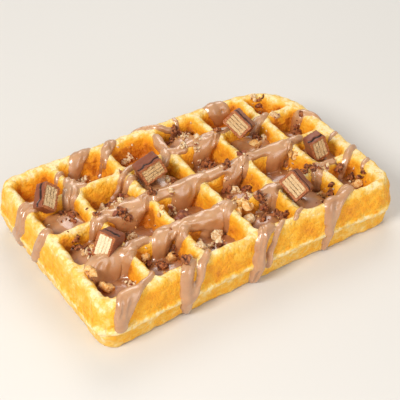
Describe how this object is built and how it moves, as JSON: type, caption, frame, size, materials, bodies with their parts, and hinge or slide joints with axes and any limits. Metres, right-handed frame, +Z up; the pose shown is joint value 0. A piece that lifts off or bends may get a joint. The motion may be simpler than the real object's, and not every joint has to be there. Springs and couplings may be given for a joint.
{
  "type": "belgian waffle",
  "caption": "Rectangular deep-pocket baked waffle with milk chocolate sauce drizzle and drips, crushed nuts and pieces of chocolate-coated wafer bar on top.",
  "frame": {"origin": "middle of the bounding box in plan, on the surface that the waffle lies on", "axes": "+X along the waffle's length, six pockets; +Y towards its back edge, four pockets; +Z up"},
  "size_m": [0.1739, 0.1141, 0.0438],
  "materials": {
    "baked_waffle": "golden baked batter, matt, paler on the rib tops and browner in the pockets",
    "milk_chocolate": "set milk chocolate, satin",
    "crisp_wafer": "crisp pale wafer sheets, matt",
    "chocolate_sauce": "thick milk chocolate sauce, glossy"
  },
  "bodies": {
    "root": {"waffle": "baked_waffle", "coat_left": "milk_chocolate", "coat_front_left": "milk_chocolate", "coat_middle": "milk_chocolate", "coat_back": "milk_chocolate", "coat_front_right": "milk_chocolate", "coat_right": "milk_chocolate", "wafer_left": "crisp_wafer", "wafer_front_left": "crisp_wafer", "wafer_middle": "crisp_wafer", "wafer_back": "crisp_wafer", "wafer_front_right": "crisp_wafer", "wafer_right": "crisp_wafer", "chocolate_shard": "milk_chocolate"}
  },
  "joints": []
}
